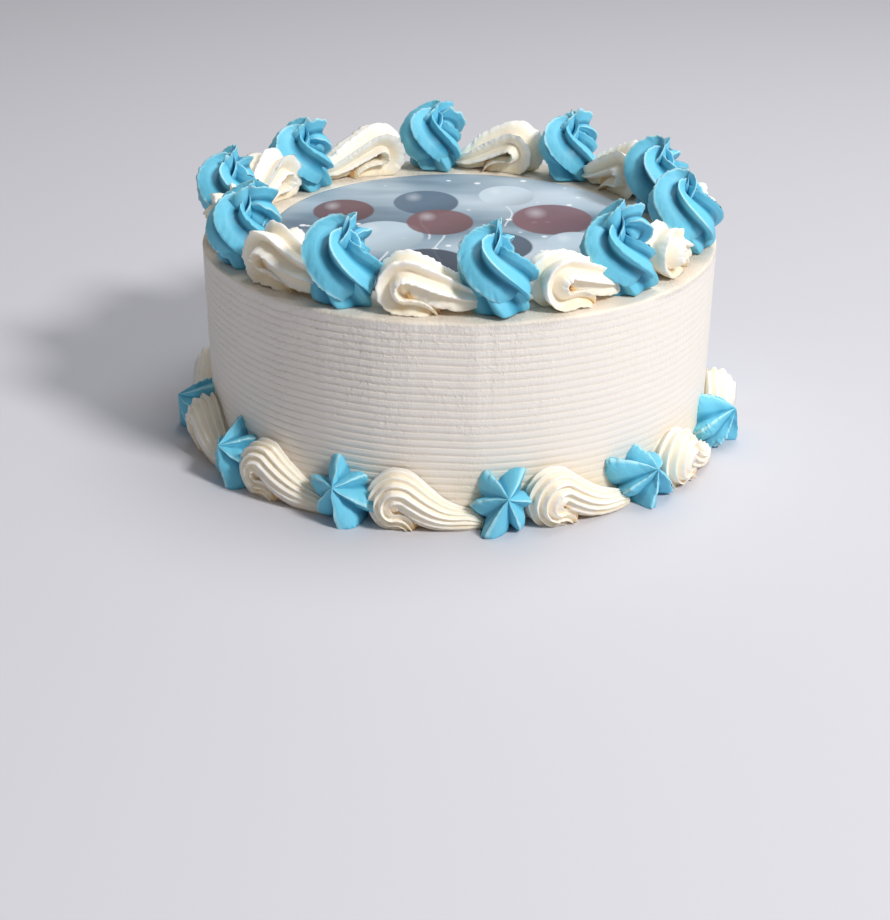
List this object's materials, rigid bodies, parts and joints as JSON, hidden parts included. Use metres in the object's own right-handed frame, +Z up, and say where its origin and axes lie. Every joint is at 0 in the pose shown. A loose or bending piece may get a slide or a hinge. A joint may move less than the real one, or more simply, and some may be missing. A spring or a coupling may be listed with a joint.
{
  "type": "round celebration cake with piped borders",
  "caption": "Round iced birthday cake with a combed side, a printed icing sheet on top and piped swirl, star and shell borders.",
  "frame": {"origin": "middle of the flat underside, on the plane the cake stands on", "axes": "+Z up along the cake's axis, -Y towards the side that the picture shows, +X to the right of it"},
  "size_m": [0.2316, 0.2327, 0.113],
  "materials": {
    "iced_cake": "satin combed buttercream",
    "printed_icing": "smooth satin printed icing sheet",
    "blue_buttercream": "satin piped buttercream",
    "cream_buttercream": "satin piped buttercream"
  },
  "bodies": {
    "root": {"cake_body": "iced_cake", "print_sheet": "printed_icing", "top_swirl_01": "blue_buttercream", "top_swirl_02": "blue_buttercream", "top_swirl_03": "blue_buttercream", "top_swirl_04": "blue_buttercream", "top_swirl_05": "blue_buttercream", "top_swirl_06": "blue_buttercream", "top_swirl_07": "blue_buttercream", "top_swirl_08": "blue_buttercream", "top_swirl_09": "blue_buttercream", "top_swirl_10": "blue_buttercream", "base_star_01": "blue_buttercream", "base_star_02": "blue_buttercream", "base_star_03": "blue_buttercream", "base_star_04": "blue_buttercream", "base_star_05": "blue_buttercream", "base_star_06": "blue_buttercream", "base_star_07": "blue_buttercream", "base_star_08": "blue_buttercream", "base_star_09": "blue_buttercream", "base_star_10": "blue_buttercream", "base_star_11": "blue_buttercream", "top_shell_01": "cream_buttercream", "top_shell_02": "cream_buttercream", "top_shell_03": "cream_buttercream", "top_shell_04": "cream_buttercream", "top_shell_05": "cream_buttercream", "top_shell_06": "cream_buttercream", "top_shell_07": "cream_buttercream", "top_shell_08": "cream_buttercream", "top_shell_09": "cream_buttercream", "top_shell_10": "cream_buttercream", "base_shell_01": "cream_buttercream", "base_shell_02": "cream_buttercream", "base_shell_03": "cream_buttercream", "base_shell_04": "cream_buttercream", "base_shell_05": "cream_buttercream", "base_shell_06": "cream_buttercream", "base_shell_07": "cream_buttercream", "base_shell_08": "cream_buttercream", "base_shell_09": "cream_buttercream", "base_shell_10": "cream_buttercream", "base_shell_11": "cream_buttercream"}
  },
  "joints": []
}
